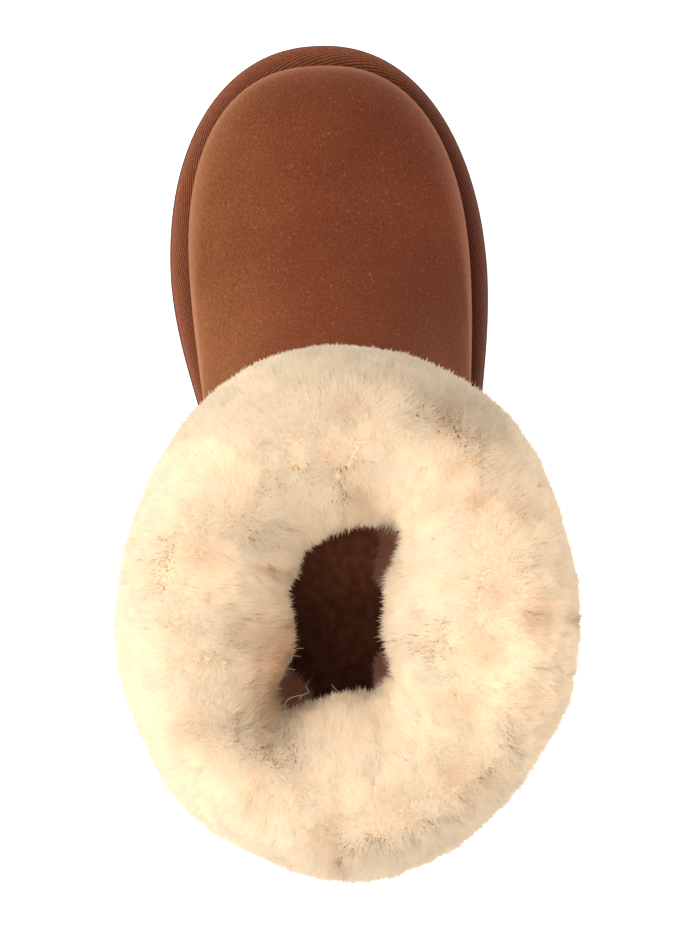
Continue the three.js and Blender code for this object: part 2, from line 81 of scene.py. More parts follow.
def mix(a, b, t):
    return a + (b - a) * t


def ease(t):
    t = clamp01(t)
    return t * t * (3 - 2 * t)


def signed_power(value, power):
    return np.sign(value) * np.abs(value) ** power


def hump(distance, half):
    return np.cos(np.pi / 2 * np.minimum(1, np.abs(distance) / half)) ** 2


def unit(vectors):
    return vectors / np.maximum(1e-9, np.linalg.norm(vectors, axis=-1, keepdims=True))


# Named sizes, as in the CAD source

SOLE_LENGTH, BALL_WIDTH = 258, 101.2
HEEL_THICKNESS, BALL_THICKNESS = 23, 15
TOE_SPRING, TOE_SPRING_LENGTH, ARCH_RISE = 7, 54, 3
TREAD_DEPTH, TREAD_GROOVE_WIDTH, TREAD_PITCH, TREAD_BORDER = 2.5, 3, 9, 8
TOE_HEIGHT, INSTEP_HEIGHT, SHAFT_HEIGHT, SKIN = 62, 96, 150, 3
TAPE_HEIGHT, TAPE_SETBACK, LEAST_TAPE = 9.5, 0.8, 2.6
COUNTER_THICKNESS, COUNTER_HEIGHT = 1.8, 80
INSOLE_THICKNESS = 6
PILE_OUTSIDE, CUFF_TOP, CUFF_HEM, FRONT_HEM_LIFT = 20, 169, 93, 13
SEAT_GAP = 0.3
TOE_X, HEEL_X, BALL_HALF = SOLE_LENGTH / 2, -SOLE_LENGTH / 2, BALL_WIDTH / 2

SLOPE_START_X, SLOPE_LENGTH = -0.27 * SOLE_LENGTH, 0.42 * SOLE_LENGTH
ARCH_X, ARCH_HALF = -0.06 * SOLE_LENGTH, 0.13 * SOLE_LENGTH
HEEL_BEVEL, HEEL_BEVEL_RISE = 0.045 * SOLE_LENGTH, 1.5
WAIST_X, WAIST_HALF = -0.085 * SOLE_LENGTH, 0.31 * SOLE_LENGTH
SWING_START_X, TOE_SWING = -0.155 * SOLE_LENGTH, 0.032 * BALL_WIDTH
SOLE_SHAPE = dict(
    front=TOE_X, back=HEEL_X, widest=0.21 * SOLE_LENGTH,
    inner=1.008 * BALL_HALF, outer=0.992 * BALL_HALF,
    nose=2.2, seat=2.8, inner_waist=0.22, outer_waist=0.15, swing=1)


# Plan outlines, cut into equal lengths on each side

def outline(shape, count):
    sides = []
    for side in (1, -1):
        angle = side * np.linspace(0, np.pi, 4 * count + 1)
        c, s = np.cos(angle), np.sin(angle)
        power = np.where(c > 0, 2 / shape["nose"], 2 / shape["seat"])
        reach = np.where(c > 0, shape["front"] - shape["widest"], shape["widest"] - shape["back"])
        x = shape["widest"] + reach * signed_power(c, power)
        half = shape["inner"] if side > 0 else shape["outer"]
        waist = shape["inner_waist"] if side > 0 else shape["outer_waist"]
        narrowed = half * (1 - waist * hump(x - WAIST_X, WAIST_HALF))
        swing = shape["swing"] * TOE_SWING * ease((x - SWING_START_X) / (TOE_X - SWING_START_X))
        y = narrowed * signed_power(s, power) + swing
        along = np.concatenate([[0], np.cumsum(np.hypot(np.diff(x), np.diff(y)))])
        wanted = np.linspace(0, along[-1], count // 2 + 1)
        sides.append(np.column_stack([np.interp(wanted, along, x), np.interp(wanted, along, y)]))
    return np.vstack([sides[0][:-1], sides[1][:0:-1]])


def grown(ring, distance):
    step = np.roll(ring, -1, axis=0) - np.roll(ring, 1, axis=0)
    return ring + distance * unit(np.column_stack([step[:, 1], -step[:, 0]]))


def toe_lift(x):
    return TOE_SPRING * clamp01((x - TOE_X + TOE_SPRING_LENGTH) / TOE_SPRING_LENGTH) ** 2


def sole_top(x):
    t = ease((x - SLOPE_START_X) / SLOPE_LENGTH)
    return mix(HEEL_THICKNESS, BALL_THICKNESS, t) + toe_lift(x)


def sole_bottom(x):
    arch = ARCH_RISE * hump(x - ARCH_X, ARCH_HALF)
    bevel = HEEL_BEVEL_RISE * clamp01((HEEL_X + HEEL_BEVEL - x) / HEEL_BEVEL) ** 2
    return arch + bevel + toe_lift(x)


# The upper's surface, as rings from the sole's edge (level 0) to the collar (level 3)

COLUMNS = ("level", "front", "back", "widest", "girth", "nose", "seat", "inner_waist", "outer_waist")
ROWS = np.array([
    (0.0, 0.985, 0.8, 1.0, 0.968, 2.3, 2.7, 0.16, 0.13),
    (0.2, 0.99, 0.87, 1.0, 0.978, 2.3, 2.7, 0.14, 0.12),
    (0.36, 1.0, 0.97, 1.0, 0.996, 2.35, 2.7, 0.11, 0.11),
    (0.52, 1.0, 1.02, 1.0, 1.0, 2.4, 2.65, 0.08, 0.1),
    (0.7, 0.972, 1.02, 0.96, 0.986, 2.35, 2.6, 0.06, 0.08),
    (0.86, 0.9, 0.97, 0.84, 0.962, 2.25, 2.55, 0.05, 0.06),
    (1.0, 0.77, 0.89, 0.57, 0.94, 2.1, 2.5, 0.03, 0.04),
    (1.25, 0.57, 0.75, 0.28, 0.93, 2.0, 2.4, 0.01, 0.02),
    (1.5, 0.412, 0.61, 0.1, 0.935, 2.0, 2.3, 0, 0),
    (1.75, 0.286, 0.48, 0.04, 0.948, 2.0, 2.2, 0, 0),
    (2.0, 0.19, 0.36, 0, 0.963, 2.05, 2.15, 0, 0),
    (2.25, 0.1, 0.23, 0, 0.98, 2.1, 2.1, 0, 0),
    (2.6, 0.03, 0.09, 0, 0.994, 2.1, 2.1, 0, 0),
    (3.0, 0, 0, 0, 1, 2.1, 2.1, 0, 0)])
FOOT = dict(front=TOE_X - 8.3, back=HEEL_X + 5, widest=SOLE_SHAPE["widest"], half=BALL_HALF - 6.5)
COLLAR = dict(front=8.3, back=-105.7, widest=-48.7, half=45.5)


def smooth_rows(levels, rows, wanted):
    """Each column of the rows at the wanted levels, on one smooth curve through them all."""
    column = (-1,) + (1,) * (rows.ndim - 1)
    index = np.arange(len(levels))
    before, after = np.maximum(index - 1, 0), np.minimum(index + 1, len(levels) - 1)
    slopes = (rows[after] - rows[before]) / (levels[after] - levels[before]).reshape(column)
    k = np.clip(np.searchsorted(levels, wanted), 1, len(levels) - 1)
    span = (levels[k] - levels[k - 1]).reshape(column)
    t = (wanted - levels[k - 1]).reshape(column) / span
    a, b, da, db = rows[k - 1], rows[k], slopes[k - 1] * span, slopes[k] * span
    return (a * (1 + 2 * t) * (1 - t) ** 2 + da * t * (1 - t) ** 2
            + b * t ** 2 * (3 - 2 * t) - db * t ** 2 * (1 - t))


def upper_ring(level, count):
    values = dict(zip(COLUMNS, smooth_rows(ROWS[:, 0], ROWS, np.array([level]))[0]))
    half = mix(COLLAR["half"], FOOT["half"], float(clamp01(values["widest"]))) * values["girth"]
    shape = dict(values, inner=half, outer=half, swing=float(clamp01(2 - level)))
    for name in ("front", "back", "widest"):
        shape[name] = mix(COLLAR[name], FOOT[name], values[name])
    ring = outline(shape, count)
    heights = [sole_top(ring[:, 0]) + SEAT_GAP, TOE_HEIGHT, INSTEP_HEIGHT, SHAFT_HEIGHT]
    step = min(len(heights) - 2, int(level))
    z = mix(heights[step], heights[step + 1], level - step) + 0 * ring[:, 0]
    return np.column_stack([ring, z])


def grid_normals(grid):
    """Outward normals of a grid of rings whose points run round in its second axis."""
    around = np.roll(grid, -1, axis=1) - np.roll(grid, 1, axis=1)
    return unit(np.cross(around, np.gradient(grid, axis=0)))


AROUND = 480
LEVEL_STEP = 0.02
SKIN_LEVELS = np.linspace(0, 3, 151)
SKIN_GRID = np.array([upper_ring(level, AROUND) for level in SKIN_LEVELS])
SKIN_NORMALS = grid_normals(SKIN_GRID)


def wall_at(heights, distance):
    """One point for each place round the wall, at its own height and distance off the surface."""
    floor = SKIN_GRID[0, :, 2]
    low = (heights - floor) / (TOE_HEIGHT - floor)
    level = np.where(heights < TOE_HEIGHT, low, np.where(
        heights < INSTEP_HEIGHT, 1 + (heights - TOE_HEIGHT) / (INSTEP_HEIGHT - TOE_HEIGHT),
        2 + (heights - INSTEP_HEIGHT) / (SHAFT_HEIGHT - INSTEP_HEIGHT)))
    place = np.clip(level, 0, 3) / LEVEL_STEP
    k = np.minimum(place.astype(int), len(SKIN_LEVELS) - 2)
    t = (place - k)[:, None]
    i = np.arange(AROUND)
    point = mix(SKIN_GRID[k, i], SKIN_GRID[k + 1, i], t)
    return point + distance * unit(mix(SKIN_NORMALS[k, i], SKIN_NORMALS[k + 1, i], t))


# Meshes

def mesh_object(name, points, faces, material, replaces=None, uv=None, normals=None, colours=None):
    mesh = bpy.data.meshes.new(name)
    mesh.vertices.add(len(points))
    mesh.vertices.foreach_set("co", (points * MM).astype(np.float32).ravel())
    corners = np.concatenate([f.ravel() for f in faces]).astype(np.int32)
    sizes = np.concatenate([np.full(len(f), f.shape[1]) for f in faces])
    mesh.loops.add(len(corners))
    mesh.loops.foreach_set("vertex_index", corners)
    mesh.polygons.add(len(sizes))
    mesh.polygons.foreach_set("loop_start", np.concatenate([[0], np.cumsum(sizes)[:-1]]).astype(np.int32))
    mesh.update(calc_edges=True)
    mesh.shade_smooth()
    if uv is not None:
        layer = mesh.uv_layers.new(name=uv[0])
        layer.data.foreach_set("uv", uv[1][corners].astype(np.float32).ravel())
    if colours is not None:
        layer = mesh.attributes.new("tint", "FLOAT_COLOR", "POINT")
        full = np.column_stack([colours, np.ones(len(colours))])
        layer.data.foreach_set("color", full.astype(np.float32).ravel())
    if normals is not None:
        mesh.normals_split_custom_set_from_vertices(normals.astype(np.float32))
    mesh.materials.append(material)
    made = bpy.data.objects.new(name, mesh)
    scene.collection.objects.link(made)
    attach(made, "root")
    if replaces:
        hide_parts(replaces)
    return made


def ring_faces(rows, count, closed=False, start=0):
    """Quads between each ring of points and the next."""
    faces = []
    bands = rows if closed else rows - 1
    i = np.arange(count)
    following = (i + 1) % count
    for j in range(bands):
        low, high = start + j * count, start + (j + 1) % rows * count
        faces.append(np.column_stack([low + i, low + following, high + following, high + i]))
    return np.vstack(faces)


def cap_faces(start, count, upward):
    """Quads straight across a ring, from one side to the other."""
    i = np.arange(1, count // 2 - 1)
    quads = np.column_stack([start + i, start + i + 1, start + count - i - 1, start + count - i])
    ends = np.array([[start, start + 1, start + count - 1],
                     [start + count // 2, start + count // 2 + 1, start + count // 2 - 1]])
    if not upward:
        quads, ends = quads[:, ::-1], ends[:, ::-1]
    return [quads, ends]


def slab_faces(rows, count):
    bottom = cap_faces(0, count, False)
    top = cap_faces((rows - 1) * count, count, True)
    return [ring_faces(rows, count), *bottom, *top]


# Materials

def linear(*srgb):
    return [((v / 255 + 0.055) / 1.055) ** 2.4 if v > 10 else v / 255 / 12.92 for v in srgb]


class Look:
    """A principled material and the nodes that feed it."""

    def __init__(self, name, roughness, sheen=0.0, sheen_tint=(1, 1, 1), specular=0.3):
        self.material = bpy.data.materials.new(name)
        self.material.use_nodes = True
        self.nodes, self.links = self.material.node_tree.nodes, self.material.node_tree.links
        self.shader = self.nodes["Principled BSDF"]
        self.shader.inputs["Roughness"].default_value = roughness
        self.shader.inputs["Specular IOR Level"].default_value = specular
        self.shader.inputs["Sheen Weight"].default_value = sheen
        self.shader.inputs["Sheen Roughness"].default_value = 0.5
        self.shader.inputs["Sheen Tint"].default_value = (*sheen_tint, 1)

    def node(self, kind, **settings):
        made = self.nodes.new(kind)
        for key, value in settings.items():
            if key in made.inputs:
                made.inputs[key].default_value = value
            else:
                setattr(made, key, value)
        return made

    def noise(self, scale, detail=2.0, stretch=(1, 1, 1)):
        place = self.node("ShaderNodeNewGeometry").outputs["Position"]
        scaled = self.node("ShaderNodeVectorMath", operation="MULTIPLY")
        self.links.new(place, scaled.inputs[0])
        scaled.inputs[1].default_value = stretch
        made = self.node("ShaderNodeTexNoise", Scale=scale, Detail=detail)
        self.links.new(scaled.outputs[0], made.inputs["Vector"])
        return made.outputs["Fac"]

    def attribute(self, name):
        return self.node("ShaderNodeAttribute", attribute_name=name).outputs["Color"]

    def ramp(self, value, *stops):
        made = self.node("ShaderNodeValToRGB")
        elements = made.color_ramp.elements
        while len(elements) < len(stops):
            elements.new(0.5)
        for element, (place, colour) in zip(elements, stops):
            element.position = place
            element.color = (*colour, 1)
        self.links.new(value, made.inputs["Fac"])
        return made.outputs["Color"]

    def blend(self, factor, first, second, mode="MIX"):
        made = self.node("ShaderNodeMix", data_type="RGBA", blend_type=mode)
        for socket, value in ((made.inputs[0], factor), (made.inputs[6], first), (made.inputs[7], second)):
            if isinstance(value, bpy.types.NodeSocket):
                self.links.new(value, socket)
            elif isinstance(value, (int, float)):
                socket.default_value = value
            else:
                socket.default_value = (*value, 1)
        return made.outputs[2]

    def colour(self, value):
        if isinstance(value, bpy.types.NodeSocket):
            self.links.new(value, self.shader.inputs["Base Color"])
        else:
            self.shader.inputs["Base Color"].default_value = (*value, 1)

    def bump(self, height, strength, distance_mm):
        made = self.node("ShaderNodeBump", Strength=strength, Distance=distance_mm * MM)
        self.links.new(height, made.inputs["Height"])
        self.links.new(made.outputs["Normal"], self.shader.inputs["Normal"])


def suede_look():
    look = Look("suede", 0.95, 0.35, linear(214, 150, 110), 0.15)
    patches = look.noise(24, 3, (1, 1, 1))
    nap = look.noise(1200, 4, (1, 1.8, 1))
    specks = look.noise(1000, 2)
    base = look.ramp(patches, (0.3, linear(102, 48, 25)), (0.7, linear(121, 61, 34)))
    grain = look.ramp(nap, (0.3, linear(108, 108, 108)), (0.7, linear(255, 255, 255)))
    body = look.blend(0.55, base, grain, "MULTIPLY")
    light = look.ramp(specks, (0.62, (0, 0, 0)), (0.76, linear(112, 76, 56)))
    # The tint attribute paints light on the suede's lit inner side and shade on its outer side
    side_lit = look.blend(1.0, body, look.attribute("tint"), "MULTIPLY")
    look.colour(look.blend(0.5, side_lit, light, "ADD"))
    look.bump(nap, 0.5, 0.25)
    return look.material


def twill_look():
    look = Look("twill_tape", 0.8, 0.15, linear(220, 160, 120), 0.25)
    thread = look.noise(1500, 2)
    grain = look.ramp(thread, (0.3, linear(190, 190, 190)), (0.7, (1, 1, 1)))
    look.colour(look.blend(1.0, look.attribute("tint"), grain, "MULTIPLY"))
    look.bump(thread, 0.4, 0.12)
    return look.material


def foam_look():
    look = Look("sole_foam", 0.75, 0.0, (1, 1, 1), 0.3)
    speck = look.noise(1100, 3)
    look.colour(look.ramp(speck, (0.35, linear(70, 38, 26)), (0.65, linear(88, 51, 35))))
    look.bump(speck, 0.35, 0.2)
    return look.material


def lining_look():
    look = Look("lining_fleece", 1.0, 0.3, linear(150, 100, 70), 0.1)
    curls = look.noise(330, 5)
    wool = look.ramp(curls, (0.3, linear(84, 46, 29)), (0.75, linear(112, 68, 47)))
    look.colour(look.blend(1.0, wool, look.attribute("tint"), "MULTIPLY"))
    look.bump(curls, 0.6, 1.0)
    return look.material


def fleece_base_look():
    look = Look("fleece_base", 1.0, 0.0, (1, 1, 1), 0.05)
    curls = look.noise(260, 4)
    # Painted shade: the body is a little darker than the fibres, for the shadow the fibres would cast on it
    look.colour(look.ramp(curls, (0.3, linear(206, 180, 150)), (0.7, linear(218, 196, 168))))
    look.bump(curls, 0.8, 1.0)
    return look.material


def fibre_look():
    look = Look("fleece_pile", 1.0, 0.3, linear(255, 240, 220), 0.05)
    tint = look.attribute("tint")
    look.colour(tint)
    through = look.node("ShaderNodeBsdfTranslucent")
    both = look.node("ShaderNodeMixShader", Fac=0.45)
    look.links.new(tint, through.inputs["Color"])
    look.links.new(look.shader.outputs[0], both.inputs[1])
    look.links.new(through.outputs[0], both.inputs[2])
    look.links.new(both.outputs[0], look.nodes["Material Output"].inputs["Surface"])
    return look.material


SUEDE, TWILL, FOAM = suede_look(), twill_look(), foam_look()
LINING, FLEECE_BASE, PILE = lining_look(), fleece_base_look(), fibre_look()
THREAD = Look("thread", 0.7)
THREAD.colour(linear(120, 74, 50))


# Outsole

SOLE_SIDE = np.array([
    (-2.5, 0), (-1.6, 0.03), (-0.75, 0.09), (-0.2, 0.15), (0, 0.22), (0, 0.5), (-1, 0.55),
    (-1, 0.63), (0, 0.68), (0, 0.92), (-0.25, 0.97), (-0.75, 1)])


def sole_edge(ring, x, side):
    points = ring[np.sign(ring[:, 1]) == side]
    points = points[np.argsort(points[:, 0])]
    return np.interp(x, points[:, 0], points[:, 1])


def box_points(centre, half, slope):
    corners = np.array([(a, b, c) for a in (-1, 1) for b in (-1, 1) for c in (-1, 1)], float) * half
    lean = math.atan(slope)
    x = corners[:, 0] * math.cos(lean) - corners[:, 2] * math.sin(lean)
    z = corners[:, 0] * math.sin(lean) + corners[:, 2] * math.cos(lean)
    return np.column_stack([x, corners[:, 1], z]) + centre


BOX_FACES = np.array([(0, 1, 3, 2), (4, 6, 7, 5), (0, 4, 5, 1), (2, 3, 7, 6), (0, 2, 6, 4), (1, 5, 7, 3)])


# Where the tread lies, as shares of the sole's length
TREAD_ZONES = ((-0.44, -0.21), (0.09, 0.4))


def make_outsole():
    count = 400
    ring = outline(SOLE_SHAPE, count)
    rings = []
    for out, height in SOLE_SIDE:
        plan = grown(ring, out)
        z = mix(sole_bottom(plan[:, 0]), sole_top(plan[:, 0]), height)
        rings.append(np.column_stack([plan, z]))
    sole = mesh_object("foam_outsole", np.vstack(rings), slab_faces(len(rings), count),
                       FOAM, "outsole")
    points, faces = [], []
    for first, last in TREAD_ZONES:
        start = first * SOLE_LENGTH
        for k in range(int((last * SOLE_LENGTH - start) / TREAD_PITCH) + 1):
            x = start + k * TREAD_PITCH
            inner, outer = sole_edge(ring, x, 1) - TREAD_BORDER, sole_edge(ring, x, -1) + TREAD_BORDER
            slope = float(sole_bottom(x + 1) - sole_bottom(x - 1)) / 2
            half = (TREAD_GROOVE_WIDTH / 2, (inner - outer) / 2, TREAD_DEPTH)
            faces.append(BOX_FACES + 8 * len(points))
            points.append(box_points((x, (inner + outer) / 2, float(sole_bottom(x))), half, slope))
    mesh = bpy.data.meshes.new("tread_cutter")
    mesh.from_pydata((np.vstack(points) * MM).tolist(), [], np.vstack(faces).tolist())
    cutter = bpy.data.objects.new("tread_cutter", mesh)
    scene.collection.objects.link(cutter)
    cut = sole.modifiers.new("tread", "BOOLEAN")
    cut.object, cut.operation, cut.solver = cutter, "DIFFERENCE", "EXACT"
    apply_modifiers(sole)
    bpy.data.objects.remove(cutter)
    sole.data.set_sharp_from_angle(angle=math.radians(35))


def apply_modifiers(made):
    shaped = bpy.data.meshes.new_from_object(made.evaluated_get(bpy.context.evaluated_depsgraph_get()))
    made.modifiers.clear()
    made.data = shaped


# Upper

SEAM_DEPTH = 0.5
SIDE_SEAM = dict(x=-26, z=30, lean=0.16, half=1.6, top=120)
BACK_SEAM = dict(front=-60, half=1.5)
# Creases across the foot's bend: x, y of the middle, half length, half width, depth
CREASES = (
    (22, 6, 34, 6.0, 0.7),
    (6, -4, 30, 5.0, 0.6),
)
CREASE_BOW, CREASE_FLOOR = 0.002, 60
# Painted light and shade on the suede: its tint on the lit inner side and on the shaded outer side, and the
# middle and width of each change
NAP_LIT_SIDE, NAP_SHADED_SIDE = np.array([1.16, 1.6, 1.4]), np.array([0.84, 0.76, 0.8])
SIDE_LIGHT_MIDDLE, SIDE_LIGHT_SPREAD = 5, 40


def seam_dent(grid):
    """Soft troughs along the side seams and the back seam of the upper."""
    x, y, z = grid[..., 0], grid[..., 1], grid[..., 2]
    seam_x = SIDE_SEAM["x"] + SIDE_SEAM["lean"] * (z - SIDE_SEAM["z"])
    side = hump(x - seam_x, SIDE_SEAM["half"]) * (z < SIDE_SEAM["top"])
    back = hump(y, BACK_SEAM["half"]) * (x < BACK_SEAM["front"])
    return SEAM_DEPTH * (side + back)


def crease_dent(grid):
    x, y, z = grid[..., 0], grid[..., 1], grid[..., 2]
    dent = 0 * x
    for at, middle, reach, half, depth in CREASES:
        line = at + CREASE_BOW * (y - middle) ** 2
        dent = dent + depth * hump(x - line, half) * hump(y - middle, reach) * (z > CREASE_FLOOR)
    return dent


def painted_side_light(points):
    """Painted light: the suede is paler and yellower on the lit inner side, and painted shade makes it
    deeper on the outer side.
    """
    inner = ease((points[:, 1:2] - SIDE_LIGHT_MIDDLE) / SIDE_LIGHT_SPREAD)
    outer = ease((SIDE_LIGHT_MIDDLE - points[:, 1:2]) / SIDE_LIGHT_SPREAD)
    return mix(mix(1, NAP_LIT_SIDE, inner), NAP_SHADED_SIDE, outer)


def make_upper():
    levels = np.concatenate([np.linspace(0, 1.6, 97), np.linspace(1.62, 3, 24)])
    rows = np.array([upper_ring(level, AROUND) for level in levels])
    normals = grid_normals(rows)
    outside = rows - (seam_dent(rows) + crease_dent(rows))[..., None] * normals
    inner_levels = np.linspace(0, 3, 13)
    inner = np.array([upper_ring(level, AROUND) for level in inner_levels])
    inside = inner - SKIN * grid_normals(inner)
    inside[0, :, 2] = sole_top(inside[0, :, 0]) + SEAT_GAP
    inside[-1, :, 2] = SHAFT_HEIGHT
    rings = len(outside) + len(inside)
    points = np.concatenate([outside, inside[::-1]]).reshape(-1, 3)
    # The upper's colours carry painted light on its lit inner side and painted shade on its outer side
    mesh_object("suede_upper", points, [ring_faces(rings, AROUND, True)], SUEDE, "upper",
                colours=painted_side_light(points))


# Lining: dark fleece on the inside of the wall and on the footbed

LINING_LEVELS = np.linspace(0.3, 2.9, 44)
LINING_THICKNESS, CURL_DEPTH = 2.2, 1.6
WOOL_TINT = (1, 0.93, 0.87)
# Painted light inside the boot: how much lighter the lining is at the toe, where that starts and over what
# length
TOE_PAINTED_LIGHT, TOE_LIGHT_FROM, TOE_LIGHT_OVER = 2, -54, 26
# The footbed's edge: inset and depth below its top
INSOLE_EDGE = ((0, INSOLE_THICKNESS), (0, 1.2), (0.4, 0.4), (1.2, 0), (6, -0.1), (14, 0))


def lining_tint_and_painted_light(points):
    """The wool's tint, lighter towards the toe as painted light."""
    return mix(1, TOE_PAINTED_LIGHT, ease((points[:, :1] - TOE_LIGHT_FROM) / TOE_LIGHT_OVER)) * WOOL_TINT


def make_lining():
    count = AROUND // 2
    rows = np.array([upper_ring(level, count) for level in LINING_LEVELS])
    normals = grid_normals(rows)
    rough = RNG.normal(0, 1, rows.shape[:2])
    for _ in range(3):
        rough = (rough + np.roll(rough, 1, 1) + np.roll(rough, -1, 1)
                 + np.roll(rough, 1, 0) + np.roll(rough, -1, 0)) / 5
    curls = CURL_DEPTH * clamp01((0.7 * rough / rough.std() + 1) / 2)
    outer = rows - (SKIN + SEAT_GAP) * normals
    inner = outer - (LINING_THICKNESS + curls)[..., None] * normals
    points = np.concatenate([outer, inner[::-1]]).reshape(-1, 3)
    mesh_object("shaft_lining", points, [ring_faces(len(LINING_LEVELS) * 2, count, True)],
                LINING, colours=lining_tint_and_painted_light(points))


def make_insole():
    count = 240
    ring = upper_ring(0, count)
    normals = grid_normals(np.array([upper_ring(level, count) for level in (0, LEVEL_STEP)]))[0]
    edge = (ring - (SKIN + 2 * SEAT_GAP) * normals)[:, :2]
    rings = []
    for inset, below in INSOLE_EDGE:
        plan = grown(edge, -inset)
        up = SEAT_GAP + INSOLE_THICKNESS - below
        rings.append(np.column_stack([plan, sole_top(plan[:, 0]) + up]))
    points = np.vstack(rings)
    mesh_object("fleece_insole", points, slab_faces(len(rings), count),
                LINING, "insole", colours=lining_tint_and_painted_light(points))


# Twill tape: a half-round roll whose ribs run at a shallow angle along it

TAPE_SECTION = np.array([
    (0, 0), (0.5, 0), (0.93, 0.0), (0.995, 0.1), (1.0, 0.25), (0.97, 0.48), (0.82, 0.75),
    (0.54, 0.94), (0.22, 1.0), (0.06, 0.96), (0, 0.86)])
TAPE_WIDTH, TAPE_LENGTH, TAPE_GIRTH = 6.5, 690.0, 24.0
RIB_PITCH, RIB_HEIGHT, RIB_ANGLE = 1.05, 0.25, math.radians(15)
RIB_STEPS, GIRTH_STEPS = 7, 30
# Colour of the rib tops, and painted shade in the gaps between the ribs
RIB_TOP, RIB_GAP_SHADE = np.array(linear(134, 70, 40)), np.array(linear(28, 8, 6))
# Painted light and shade on the tape: its tint on the lit inner side and on the shaded outer side, and where
# it changes
TAPE_LIT_SIDE, TAPE_SHADED_SIDE = np.array([1, 1, 0.92]), np.array([0.6, 0.42, 0.42])
TAPE_MIDDLE, TAPE_SPREAD = -10, 30


def tape_grid(places, sections):
    """Points of the tape's surface at shares of the way round and along its section."""
    ring = outline(SOLE_SHAPE, AROUND)
    edge = grown(ring, -TAPE_SETBACK)
    table = []
    for reach, lift in TAPE_SECTION:
        inner = wall_at(sole_top(SKIN_GRID[0, :, 0]) + SEAT_GAP + lift * TAPE_HEIGHT, SEAT_GAP + 0.1)
        across = edge - inner[:, :2]
        length = np.linalg.norm(across, axis=1, keepdims=True)
        across = across / length * np.maximum(LEAST_TAPE, length)
        plan = inner[:, :2] + across * reach
        table.append(np.column_stack([plan, sole_top(plan[:, 0]) + SEAT_GAP + lift * TAPE_HEIGHT]))
    table = np.array(table)
    steps = np.linalg.norm(np.diff(TAPE_SECTION * (TAPE_WIDTH, TAPE_HEIGHT), axis=0), axis=1)
    share = np.concatenate([[0], np.cumsum(steps)]) / steps.sum()
    table = smooth_rows(share, table, sections[:, 0])
    where = (places % 1) * AROUND
    k = where.astype(int) % AROUND
    t = (where - np.floor(where))[..., None]
    row = np.arange(len(sections))[:, None]
    return mix(table[row, k], table[row, (k + 1) % AROUND], t)


def make_tape():
    ribs = round(TAPE_LENGTH * math.sin(RIB_ANGLE) / RIB_PITCH)
    stations = ribs * RIB_STEPS
    shift = round(TAPE_GIRTH / math.tan(RIB_ANGLE) / TAPE_LENGTH * stations)
    share = np.linspace(0, 1, GIRTH_STEPS + 1)[:, None]
    i = np.arange(stations)[None, :]
    places = (i + shift * share) / stations
    points = tape_grid(places, share)
    around = np.roll(points, -1, axis=1) - np.roll(points, 1, axis=1)
    normals = unit(np.cross(around, np.gradient(points, axis=0)))
    ridge = np.abs(np.sin(np.pi * i * ribs / stations)) ** 0.8 + 0 * share
    shown = ease((share - 0.12) / 0.1) * ease((0.985 - share) / 0.03)
    points = points + (RIB_HEIGHT * (ridge - 0.6) * shown)[..., None] * normals
    # Painted shade: the gaps between the ribs darken, most over the outer part of the roll
    depth = (1 - ridge) * mix(0.45, 1, ease((share - 0.55) / 0.25))
    # Painted shade on the tape's outer side, which faces away from the key light
    outer = ease((TAPE_MIDDLE - points[..., 1:2]) / TAPE_SPREAD)
    tints = mix(RIB_TOP, RIB_GAP_SHADE, depth[..., None]) * mix(TAPE_LIT_SIDE, TAPE_SHADED_SIDE, outer)
    faces = ring_faces(GIRTH_STEPS + 1, stations)
    first = (np.arange(stations) + shift) % stations
    last = GIRTH_STEPS * stations + np.arange(stations)
    closing = np.column_stack([last, np.roll(last, -1), np.roll(first, -1), first])
    mesh_object("ribbed_tape", points.reshape(-1, 3), [faces, closing], TWILL, "binding_tape",
                colours=tints.reshape(-1, 3))


# Heel patch with a row of stitches along its edge

COUNTER_FOOT = HEEL_THICKNESS + TAPE_HEIGHT + 1.2
COUNTER_LENGTH, COUNTER_EDGE = 74, 0.5
STITCH_INSET, STITCH_PITCH, STITCH_LENGTH, STITCH_RADIUS = 3, 3.4, 2.5, 0.35


def bezier(a, b, c, d, t):
    return a * (1 - t) ** 3 + 3 * b * (1 - t) ** 2 * t + 3 * c * (1 - t) * t ** 2 + d * t ** 3


def counter_front(z):
    """How far forward the patch reaches at a height."""
    t = np.linspace(0, 1, 200)
    x = HEEL_X + bezier(COUNTER_LENGTH, COUNTER_LENGTH, COUNTER_LENGTH, -COUNTER_THICKNESS, t)
    shoulder = mix(COUNTER_FOOT, COUNTER_HEIGHT, 0.7)
    height = bezier(COUNTER_FOOT, shoulder, COUNTER_HEIGHT, COUNTER_HEIGHT, t)
    return np.interp(z, height, x)


def counter_line(z, distance, inset, count):
    """Points of one level line of the patch, from its inner side round the back to its outer side."""
    ring = wall_at(np.full(AROUND, float(z)), distance)
    front = counter_front(z) - inset
    half = AROUND // 2
    inner, outer = ring[:half + 1], ring[half:]
    places = []
    for side in (inner[::-1], outer):
        k = int(np.argmax(side[:, 0] > front))
        t = (front - side[k - 1, 0]) / (side[k, 0] - side[k - 1, 0])
        places.append(k - 1 + t)
    place = np.linspace(half - places[0], half + places[1], count)
    k = place.astype(int)
    return mix(ring[k % AROUND], ring[(k + 1) % AROUND], (place - k)[:, None])


